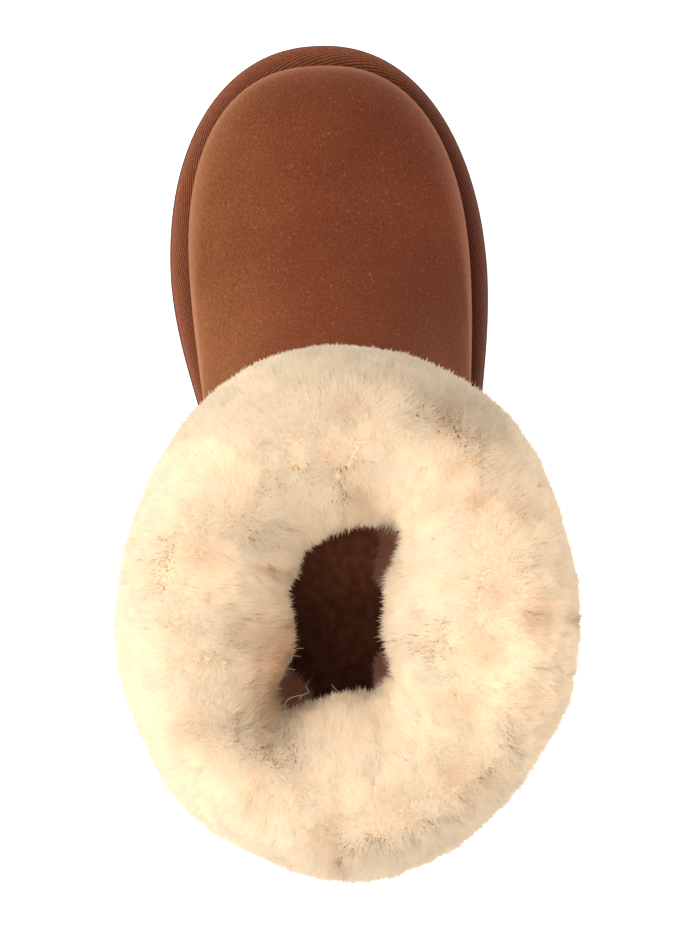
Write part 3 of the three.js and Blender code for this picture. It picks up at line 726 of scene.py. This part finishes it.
def make_counter():
    rows, count = 40, 90
    heights = mix(COUNTER_FOOT, COUNTER_HEIGHT - 0.25, np.sin(np.linspace(0, np.pi / 2, rows)))
    over = np.array([counter_line(z, SEAT_GAP + COUNTER_THICKNESS, 0, count) for z in heights])
    under = np.array([counter_line(z, SEAT_GAP + 0.05, 0, count) for z in heights])
    points = np.concatenate([over.reshape(-1, 3), under.reshape(-1, 3)])
    j, i = np.meshgrid(np.arange(rows - 1), np.arange(count - 1), indexing="ij")
    a = (j * count + i).ravel()
    front = np.column_stack([a, a + 1, a + count + 1, a + count])
    size = rows * count
    back = (front + size)[:, ::-1]
    border = np.concatenate([
        np.arange(count - 1), np.arange(rows - 1) * count + count - 1,
        size - 1 - np.arange(count - 1), (rows - 1 - np.arange(rows - 1)) * count])
    after = np.roll(border, -1)
    rim = np.column_stack([border, border + size, after + size, after])
    # The patch's colours carry the same painted light and shade as the upper
    patch = mesh_object("heel_patch", points, [front, back, rim], SUEDE, "heel_counter",
                        colours=painted_side_light(points))
    edge = patch.modifiers.new("edge", "BEVEL")
    edge.width, edge.segments, edge.limit_method = COUNTER_EDGE * MM, 2, "ANGLE"
    edge.angle_limit = math.radians(50)
    apply_modifiers(patch)
    stitch_line([counter_line(z, SEAT_GAP + COUNTER_THICKNESS, STITCH_INSET, 2) for z in heights[2:-3]])


def stitch_line(pairs):
    """Short raised stitches down both front edges of the heel patch."""
    points, faces = [], []
    for side in (0, 1):
        path = np.array([pair[side] for pair in pairs])
        along = np.concatenate([[0], np.cumsum(np.linalg.norm(np.diff(path, axis=0), axis=1))])
        for start in np.arange(1, along[-1] - 3, STITCH_PITCH):
            reached = (start, start + STITCH_LENGTH)
            ends = np.column_stack([np.interp(reached, along, path[:, k]) for k in range(3)])
            way = unit(ends[1] - ends[0])
            out = unit(np.array([0, np.sign(ends[0][1]), 0.0]))
            aside = unit(np.cross(way, out))
            ring = []
            for t, swell in ((0, 0.25), (0.2, 0.9), (0.8, 0.9), (1, 0.25)):
                centre = mix(ends[0], ends[1], t) + 0.1 * swell * out
                for k in range(6):
                    angle = 2 * math.pi * k / 6
                    spoke = math.cos(angle) * aside + math.sin(angle) * out
                    ring.append(centre + STITCH_RADIUS * swell * spoke)
            base = sum(len(p) for p in points)
            points.append(np.array(ring))
            faces.append(ring_faces(4, 6, False, base))
            faces.append(base + np.array([[5, 4, 3, 2], [5, 2, 1, 0], [18, 19, 20, 21], [18, 21, 22, 23]]))
    mesh_object("heel_stitches", np.vstack(points), [np.vstack(faces)], THREAD.material)


# Fleece cuff

# The cuff's section: reach, from 1 outside to -1 at the hole's edge, and height as a share from hem to top
PILE_ROWS = np.array([
    (0.45, 0.0), (0.9, 0.08), (1.0, 0.26), (1.0, 0.48), (0.9, 0.72), (0.6, 0.91), (0.15, 1.0),
    (-0.4, 0.97), (-0.8, 0.84), (-1.0, 0.66), (-0.88, 0.47), (-0.5, 0.375)])
# Bulges and hollows: share of the way round, row and rise as a share of the pile
BULGES = (
    (0.03, 4, 0.05), (0.14, 8, 0.08), (0.16, 3, -0.05), (0.28, 3, 0.08), (0.36, 7, -0.08),
    (0.38, 3, 0.05), (0.43, 3, -0.08), (0.48, 3, -0.04), (0.56, 3, -0.11), (0.62, 9, 0.1),
    (0.62, 3, -0.16),
    (0.74, 10, 0.1), (0.74, 3, 0.06), (0.87, 4, 0.06), (0.94, 9, -0.07))
BULGE_SPREAD, BULGE_ROWS = 0.07, 3.5
HOLE_CENTRE = (-47.5, 3.0)
# The hole's outline where it is narrowest: angle from +X towards +Y, and radius
HOLE = np.array([
    (0, 26.4), (24, 24), (45, 21.6), (84, 16.2), (110, 16.2), (124, 18.4), (131, 25), (138, 32),
    (150, 35.5), (160, 33), (172, 27.6), (187, 26), (200, 28.5), (212, 29.6), (228, 26),
    (246, 18.4), (275, 18.6), (298, 19), (308, 25.5), (316, 31.5), (327, 32.5), (342, 29)])
# Lobes, where the brown lining wool shows below the cream edge: angle, half width and how far it comes in
LOBES = ((314, 32, 13), (147, 27, 13), (219, 22, 11))
LOBE_ROW, LEAST_PILE = 9, 4
# How deep the fleece's body lies under the cuff's surface
FUR_DEPTH = 1.2


def hole_radius(angle):
    """The hole's radius at an angle in degrees."""
    wrapped = np.concatenate([HOLE[-3:] - (360, 0), HOLE, HOLE[:3] + (360, 0)])
    fine = np.linspace(-20, 380, 401)
    values = np.interp(fine, wrapped[:, 0], wrapped[:, 1])
    kernel = np.hanning(11)
    values = np.convolve(np.pad(values, 5, mode="edge"), kernel / kernel.sum(), "valid")
    return np.interp(angle % 360, fine, values)


def turned(angle, middle):
    """The angle from the middle one, between -180 and 180 degrees."""
    return (angle - middle + 180) % 360 - 180


def lobe_share(angle):
    """How far an angle lies in a lobe, 0 to 1."""
    return sum(hump(turned(angle, lobe[0]), lobe[1]) for lobe in LOBES)


def lobe_depth(angle):
    """How far the lining wool comes in at an angle."""
    return sum(lobe[2] * hump(turned(angle, lobe[0]), lobe[1]) for lobe in LOBES)


def hole_angle(points):
    """The angle of each point about the hole's centre, in degrees from +X towards +Y."""
    return np.degrees(np.arctan2(points[:, 1] - HOLE_CENTRE[1], points[:, 0] - HOLE_CENTRE[0]))


def pile_table():
    """The cuff's surface at each of its rows, for AROUND places."""
    collar = SKIN_GRID[-1]
    outward = unit(SKIN_NORMALS[-1] * (1, 1, 0))
    hem = CUFF_HEM + FRONT_HEM_LIFT * np.maximum(0, outward[:, 0]) ** 2
    angle = hole_angle(collar)
    radius = hole_radius(angle)
    radians = np.radians(angle)
    way = np.column_stack([np.cos(radians), np.sin(radians), 0 * radians])
    around = np.arange(AROUND) / AROUND
    table = []
    for row, (reach, up) in enumerate(PILE_ROWS):
        height = mix(hem, CUFF_TOP, up)
        bulge = 0 * around
        for at, middle, rise in BULGES:
            apart = np.abs(around - at)
            near = hump(np.minimum(apart, 1 - apart), BULGE_SPREAD) * hump(row - middle, BULGE_ROWS)
            bulge += rise * PILE_OUTSIDE * near
        if reach > 0:
            foot = wall_at(np.minimum(height, SHAFT_HEIGHT), 0)
            slope = ((foot - collar) * outward).sum(axis=1)
            out = np.maximum(reach * PILE_OUTSIDE + bulge, slope + LEAST_PILE * min(1, up * 8 + 0.3))
            point = foot + (out - slope)[:, None] * outward
        else:
            reached = radius - lobe_depth(angle) if row > LOBE_ROW else radius
            hole = reached[:, None] * way + (*HOLE_CENTRE, SHAFT_HEIGHT)
            point = mix(collar, hole, -reach) - bulge[:, None] * outward
        point[:, 2] = height
        table.append(point)
    return np.array(table)


PILE_FINE = np.linspace(0, len(PILE_ROWS) - 1, 221)
PILE_TABLE = pile_table()
PILE_GRID = smooth_rows(np.arange(len(PILE_ROWS), dtype=float), PILE_TABLE, PILE_FINE)
PILE_NORMALS = grid_normals(PILE_GRID)

# Tufts, soft tan spots in the pile: place in plan, radius and strength
TUFTS = (
    (10, -2, 6, 0.6), (-9, -6, 6, 0.5), (-27, 43, 7, 0.6), (-50, -51, 6, 0.6), (-58, -38, 7, 0.6),
    (-51, 32, 7, 0.5), (-79, 44, 7, 0.7), (-76, -30, 7, 0.6), (-94, -29, 7, 0.8), (-109, 8, 6, 0.7),
    (-98, 28, 6, 0.5), (-103, -12, 6, 0.5), (-71, -47, 6, 0.5), (8, -29, 6, 0.7), (-11, -5, 6, 0.8),
    (-17, -39, 5, 0.9), (-21, -47, 5, 0.7), (-15, -29, 6, 0.5), (-6, -33, 5, 0.6), (9, 0, 7, 0.5),
    (-4, 3, 6, 0.5), (-43, -42, 5, 0.7), (-49, -52, 6, 0.9), (-55, -37, 5, 0.7),
)
# Tufts lie above this height
TUFT_FLOOR = 140
# Partings, where the pile falls to both sides of a line: angle and row of both ends, half width and strength
PARTINGS = (
    ((178, 7.0), (181, 2.4), 3.0, 0.55),
    ((266, 5.2), (264, 2.2), 3.0, 0.6),
    ((60, 7.0), (52, 8.6), 2.6, 0.5),
)
PARTING_STEPS = 24


def grid_at(grid, around, row):
    """Values of a pile grid at shares of the way round and at places among its rows."""
    x, y = (around % 1) * AROUND, row / PILE_FINE[-1] * (len(PILE_FINE) - 1)
    i, j = x.astype(int) % AROUND, np.clip(y.astype(int), 0, len(PILE_FINE) - 2)
    s, t = (x - np.floor(x))[:, None], (y - j)[:, None]
    following = (i + 1) % AROUND
    return mix(mix(grid[j, i], grid[j, following], s), mix(grid[j + 1, i], grid[j + 1, following], s), t)


def place_of(angle):
    """The share of the way round the collar at an angle in degrees about the hole's centre."""
    return float(np.argmin(np.abs(turned(hole_angle(SKIN_GRID[-1]), angle)))) / AROUND


def parting_fields(points):
    """How deep each point lies in a parting or tuft, and which way the pile leans out of a parting."""
    depth, lean = np.zeros(len(points)), np.zeros((len(points), 3))
    for (angle_a, row_a), (angle_b, row_b), half, strength in PARTINGS:
        ends = (place_of(angle_a), place_of(angle_b))
        if abs(ends[1] - ends[0]) > 0.5:
            ends = (ends[0], ends[1] + math.copysign(1, ends[0] - ends[1]))
        t = np.linspace(0, 1, PARTING_STEPS)
        line = grid_at(PILE_GRID, mix(ends[0], ends[1], t), mix(row_a, row_b, t))
        away = points[:, None, :] - line[None, :, :]
        distance = np.linalg.norm(away, axis=2)
        nearest = distance.argmin(axis=1)
        d = distance[np.arange(len(points)), nearest]
        taper = strength * hump(nearest / (PARTING_STEPS - 1) - 0.5, 0.62)
        inside = taper * hump(d, half)
        reach = taper * hump(d, 2.2 * half)
        lean += reach[:, None] * unit(away[np.arange(len(points)), nearest])
        depth = np.maximum(depth, inside)
    for x, y, radius, strength in TUFTS:
        away = points * (1, 1, 0) - (x, y, 0)
        d = np.linalg.norm(away, axis=1)
        inside = 0.6 * strength * hump(d, 1.4 * radius) * (points[:, 2] > TUFT_FLOOR)
        depth = np.maximum(depth, inside)
    return depth, lean


# Heights at which the fleece's body lies against the outside and the inside of the shaft
OUTSIDE_HEIGHTS = (148.0, 135.0, 120.0, 104.0)
INSIDE_HEIGHTS = (124.0, 135.0, 148.0)
RIM_LIFT = 0.8


def wall_rings(heights, distance):
    """Every second point of the wall's level lines at some heights."""
    return np.array([wall_at(np.full(AROUND, z), distance)[::2] for z in heights])


def make_cuff_base():
    rows = (PILE_GRID - FUR_DEPTH * PILE_NORMALS)[::4, ::2]
    inside = wall_rings(INSIDE_HEIGHTS, -SKIN - SEAT_GAP)
    top = wall_rings([SHAFT_HEIGHT], -SKIN / 2) + (0, 0, RIM_LIFT)
    outside = wall_rings(OUTSIDE_HEIGHTS, SEAT_GAP)
    points = np.concatenate([rows, inside, top, outside])
    mesh_object("fleece_body", points.reshape(-1, 3), [ring_faces(len(points), AROUND // 2, True)],
                FLEECE_BASE, "fleece_cuff")


# Pile: many curved tapered fibres, joined into a few meshes

FIBRES = 225000
SECTORS = 5
CLUMPS = 2600
FIBRE_HALF_WIDTH = 0.19
# Rows from this one on lie in the dark of the hole and get fewer fibres
DARK_ROW, DARK_SHARE = 9.6, 0.25
# Fibre length outside and towards the hole, and how deep a root lies inside the fleece's body
OUTER_LENGTH, HOLE_LENGTH, ROOT_DEPTH = 6.0, 7.5, 0.6
# The row of the crest, where the pile combed outwards meets the pile combed into the hole
CREST_ROW, CREST_HALF = 6.5, 1.6
# Rows where the pile is tousled
TOUSLED_ROW, TOUSLED_HALF = 7.0, 2.6
# Patches of wild locks, and of painted shade in tan on the hole's inner slope that faces away from the key
# light: angle, half width, row and rows to each side
WILD = (235, 60, 5, 3.5)
SHADED_SLOPE = (126, 46, 8.3, 1.7)
# The rows at which cream turns to brown, outside the lobes and in them
BROWN_ROW, LOBE_BROWN_ROW, BROWN_BLEND = 9.3, 8.6, 0.5
# Places of a fibre's five corners in its cell of the texture map
FIBRE_UV = np.array([(0.05, 0.05), (0.95, 0.05), (0.05, 0.5), (0.95, 0.5), (0.5, 0.95)])
# Colours along a fibre, with painted shade: all about a quarter darker for the shadows the fibres would cast
# on each other, and darker and warmer towards the root, deep in the pile
TIP = np.array(linear(223, 211, 192))
BODY = np.array(linear(222, 206, 181))
ROOT = np.array(linear(220, 199, 168))
TAN = np.array(linear(190, 150, 106))
BROWN = np.array(linear(116, 68, 48))


def nearest_of(places, points):
    tree = kdtree.KDTree(len(places))
    for k, place in enumerate(places):
        tree.insert(Vector(place), k)
    tree.balance()
    return np.array([tree.find(Vector(point))[1] for point in points])


def pile_samples(count):
    """Places spread evenly over the cuff's surface, more of them where it is seen from above."""
    steps_a = np.linalg.norm(np.roll(PILE_GRID, -1, axis=1) - PILE_GRID, axis=2)
    steps_b = np.linalg.norm(np.gradient(PILE_GRID, axis=0), axis=2)
    weight = steps_a * steps_b * (0.55 + 0.45 * clamp01(PILE_NORMALS[..., 2] + 0.4))
    weight[PILE_FINE > DARK_ROW] *= DARK_SHARE
    chance = weight[:-1].ravel() / weight[:-1].sum()
    picked = RNG.choice(len(chance), size=count, p=chance)
    around = (picked % AROUND + RNG.random(count)) / AROUND
    row = PILE_FINE[picked // AROUND] + RNG.random(count) * PILE_FINE[1]
    return around, np.clip(row, 0, PILE_FINE[-1] - 1e-6)


def in_patch(patch, angle, row):
    """How far places lie in a patch of the cuff, 0 to 1."""
    return hump(angle - patch[0], patch[1]) * hump(row - patch[2], patch[3])


def fleece_tone_and_painted_light(points):
    """The fleece is a little deeper in front, and painted light makes it paler on the shaded outer side."""
    front = ease((points[:, 0] + 4) / 14)
    outer = ease((-points[:, 1] - 20) / 40)
    return mix(1, 0.9, front) * mix(1, 1.1, outer)


def combed(around, row):
    """Which way the pile is combed at each place, how far it lies down there, and how ruffled it is."""
    down = unit(np.gradient(PILE_GRID, axis=0))
    beside = unit(np.roll(PILE_GRID, -1, axis=1) - np.roll(PILE_GRID, 1, axis=1))
    turn = 2 * np.pi * around
    crest = CREST_ROW + 0.8 * np.sin(3 * turn + 0.6) + 0.5 * np.sin(7 * turn + 2.2)
    along = np.tanh((row - crest) / CREST_HALF)
    swirl = (0.45 * np.sin(5 * turn + 0.8) + 0.4 * np.sin(8 * turn + 0.9 * row)
             + 0.3 * np.sin(13 * turn - 0.7 * row))
    aside = 0.3 * hump(row - crest, 2 * CREST_HALF) * swirl
    ruffled = hump(row - crest, TOUSLED_HALF)
    way = along[:, None] * unit(grid_at(down, around, row))
    way += aside[:, None] * unit(grid_at(beside, around, row))
    return way, clamp01(np.hypot(along, 0.5 * ruffled)), ruffled


def drawn_together(start, middle, tip, clump, pull, fibre_tone):
    """Fibres whose tips are drawn towards the middle of their clump."""
    counts = np.maximum(1, np.bincount(clump, minlength=CLUMPS))
    sums = [np.bincount(clump, weights=tip[:, k], minlength=CLUMPS) for k in range(3)]
    centre = (np.column_stack(sums) / counts[:, None])[clump]
    tip = mix(tip, centre, (pull * (0.8 + 0.2 * fibre_tone.clip(-1, 1)))[:, None])
    middle = mix(middle, (centre + start) / 2, (0.25 * pull)[:, None])
    return middle, tip


def fibre_colours(tan, brown, shade):
    """Colours of each fibre's five corners, two at its root, two at its middle and one at its tip."""
    ends = []
    for plain, share in ((ROOT, 1), (BODY, 1), (TIP, 0.8)):
        cream = mix(plain, TAN, share * tan[:, None])
        ends.append(np.clip(mix(cream, BROWN, brown[:, None]) * shade[:, None], 0, 1))
    root, middle, tip = ends
    return np.stack([root, root, middle, middle, tip], axis=1)


def join_fibres(name, points, normals, colours):
    """One mesh of fibres, given the places, normals and colours of each fibre's five corners."""
    count = len(points)
    first = 5 * np.arange(count)[:, None]
    faces = [first + np.array([0, 1, 3, 2]), first + np.array([2, 3, 4])]
    cells = math.ceil(math.sqrt(count))
    cell = np.stack([np.arange(count) % cells, np.arange(count) // cells], axis=1)[:, None, :]
    uv = ((cell + FIBRE_UV) / cells).reshape(-1, 2)
    pile = mesh_object(name, points.reshape(-1, 3), faces, PILE, None, ("OFBake", uv),
                       normals.reshape(-1, 3), colours.reshape(-1, 3))
    # Light passes through real wool, so only the fleece's body casts a shadow
    pile.visible_shadow = False


def make_pile():
    around, row = pile_samples(FIBRES)
    seed_around, seed_row = pile_samples(CLUMPS)
    seeds = grid_at(PILE_GRID, seed_around, seed_row)
    root = grid_at(PILE_GRID, around, row)
    clump = nearest_of(seeds, root)
    clump_turn = RNG.normal(0, 1, (CLUMPS, 3))[clump]
    clump_length = RNG.normal(1, 0.07, CLUMPS)[clump]
    clump_tone = RNG.normal(0, 1, CLUMPS)[clump]
    fibre_turn = RNG.normal(0, 1, (FIBRES, 3))
    fibre_length = RNG.normal(1, 0.12, FIBRES)
    fibre_tone = RNG.normal(0, 1, FIBRES)

    normal = unit(grid_at(PILE_NORMALS, around, row))
    angle = hole_angle(root) % 360
    tousled = hump(row - TOUSLED_ROW, TOUSLED_HALF)
    wild = in_patch(WILD, angle, row)
    depth, parted = parting_fields(root)
    way, lean, ruffled = combed(around, row)
    flow = way + clump_turn * (0.07 + 0.1 * tousled + 0.2 * wild)[:, None]
    flow += fibre_turn * (0.08 + 0.04 * wild + 0.16 * ruffled)[:, None] + parted
    flow -= (flow * normal).sum(axis=1, keepdims=True) * normal
    steep = mix(0.9, 0.7, lean)[:, None]
    first = unit(normal * steep + flow * 0.55)
    second = unit(normal * (steep - 0.45) + flow * 0.95)
    length = mix(OUTER_LENGTH, HOLE_LENGTH, clamp01((row - 6.5) / 1.5)) * clump_length * fibre_length
    length = length * mix(0.75, 1, clamp01(row / 1.5)) * (1 + 0.12 * wild)
    start = root - (FUR_DEPTH + ROOT_DEPTH + 0.3 * depth)[:, None] * normal
    middle = start + first * (0.5 * length)[:, None]
    tip = middle + second * (0.5 * length)[:, None]
    middle, tip = drawn_together(start, middle, tip, clump, 0.05 + 0.12 * tousled, fibre_tone)

    apart = np.linalg.norm(root - seeds[clump], axis=1)
    edge = clamp01((apart - 1.8) / 3.0) * (0.25 + 0.75 * tousled)
    # Tan: painted shade down the partings, soft tan spots at the tufts, a little at the edges of clumps,
    # random tone, and the painted shade of the hole's inner slope
    tan = clamp01(0.05 * edge + 0.75 * depth + 0.04 * fibre_tone + 0.05 * tousled * clump_tone
                  + 0.9 * in_patch(SHADED_SLOPE, angle, row))
    brown = ease((row - mix(BROWN_ROW, LOBE_BROWN_ROW, lobe_share(angle))) / BROWN_BLEND)
    shade = (1 + 0.05 * fibre_tone + 0.035 * clump_tone) * fleece_tone_and_painted_light(root)
    colours = fibre_colours(tan, brown, shade)

    wide = FIBRE_HALF_WIDTH * RNG.uniform(0.8, 1.25, FIBRES)[:, None] * unit(np.cross(second, normal))
    points = np.stack([start - wide, start + wide, middle - wide, middle + wide, tip], axis=1)
    normals = np.repeat(normal[:, None, :], 5, axis=1)
    sector = np.minimum((around * SECTORS).astype(int), SECTORS - 1)
    for k in range(SECTORS):
        chosen = sector == k
        join_fibres(f"fleece_pile_{k + 1}", points[chosen], normals[chosen], colours[chosen])


STRAYS = 9


def make_stray_fibres():
    """A few loose curled fibres hanging into the hole from its inner side."""
    steps = np.linspace(0, 1, 25)
    points, faces = [], []
    for k in range(STRAYS):
        around = np.array([place_of(RNG.uniform(115, 185))])
        start = grid_at(PILE_GRID, around, np.array([RNG.uniform(9.0, 9.8)]))[0]
        inward = unit(np.array([*HOLE_CENTRE, start[2]]) - start)
        aside = np.cross(inward, (0, 0, 1))
        reach, curl = RNG.uniform(5, 9), RNG.uniform(0.8, 2.0)
        turn = RNG.uniform(0, 6) + RNG.uniform(5, 10) * steps
        sway = curl * (np.sin(turn) - np.sin(turn[0]))
        rise = curl * (np.cos(turn) - np.cos(turn[0]))
        path = start + np.outer(reach * steps + 0.5 * rise, inward) + np.outer(sway, aside)
        path[:, 2] += 0.6 * rise
        half = (0.1 - 0.05 * steps)[:, None] * unit(np.cross(np.gradient(path, axis=0), (0, 0, 1.0)))
        a = np.arange(len(steps) - 1) + 2 * k * len(steps)
        faces.append(np.column_stack([a, a + len(steps), a + len(steps) + 1, a + 1]))
        points.append(np.concatenate([path - half, path + half]))
    points = np.vstack(points)
    mesh_object("stray_fibres", points, faces, PILE, None, None,
                np.tile((0, 0, 1.0), (len(points), 1)), np.tile(TIP, (len(points), 1)))


make_outsole()
make_upper()
make_lining()
make_insole()
make_tape()
make_counter()
make_cuff_base()
make_pile()
make_stray_fibres()


# Floor and light

FLOOR_HALF, FLOOR_COLOUR, FLOOR_GLOW = 6, (0.8, 0.8, 0.8), 0.85
WORLD_COLOUR, WORLD_STRENGTH = (1, 0.955, 0.89, 1), 0.6
LIT_PLACE = (0, 0, 0.08)
# Lights: name, place, size, power and colour
LIGHTS = (
    ("key", (0.05, 1.4, 1.15), 1.4, 28, (1, 0.985, 0.965)),
    ("top", (-0.15, 0.25, 1.7), 1.0, 17, (1, 0.98, 0.965)),
    ("fill", (-0.4, -1.35, 0.85), 1.6, 6, (1, 0.965, 0.93)),
)


def make_stage():
    mesh = bpy.data.meshes.new("floor")
    corners = [(FLOOR_HALF * x, FLOOR_HALF * y, 0) for x, y in ((-1, -1), (1, -1), (1, 1), (-1, 1))]
    mesh.from_pydata(corners, [], [(0, 1, 2, 3)])
    floor = bpy.data.objects.new("floor", mesh)
    look = Look("floor", 1.0)
    look.colour(FLOOR_COLOUR)
    look.shader.inputs["Emission Color"].default_value = (1, 1, 1, 1)
    look.shader.inputs["Emission Strength"].default_value = FLOOR_GLOW
    mesh.materials.append(look.material)
    scene.collection.objects.link(floor)


def area_light(name, place, size, power, colour):
    data = bpy.data.lights.new(name, "AREA")
    data.shape, data.size, data.energy, data.color = "DISK", size, power, colour
    light = bpy.data.objects.new(name, data)
    light.location = place
    way = Vector(LIT_PLACE) - Vector(place)
    light.rotation_euler = way.to_track_quat("-Z", "Y").to_euler()
    scene.collection.objects.link(light)


def make_light():
    for light in LIGHTS:
        area_light(*light)
    world = bpy.data.worlds.new("world")
    world.use_nodes = True
    world.node_tree.nodes["Background"].inputs["Color"].default_value = WORLD_COLOUR
    world.node_tree.nodes["Background"].inputs["Strength"].default_value = WORLD_STRENGTH
    scene.world = world
    scene.view_settings.view_transform = "Standard"
    scene.view_settings.look = "None"


make_stage()
make_light()
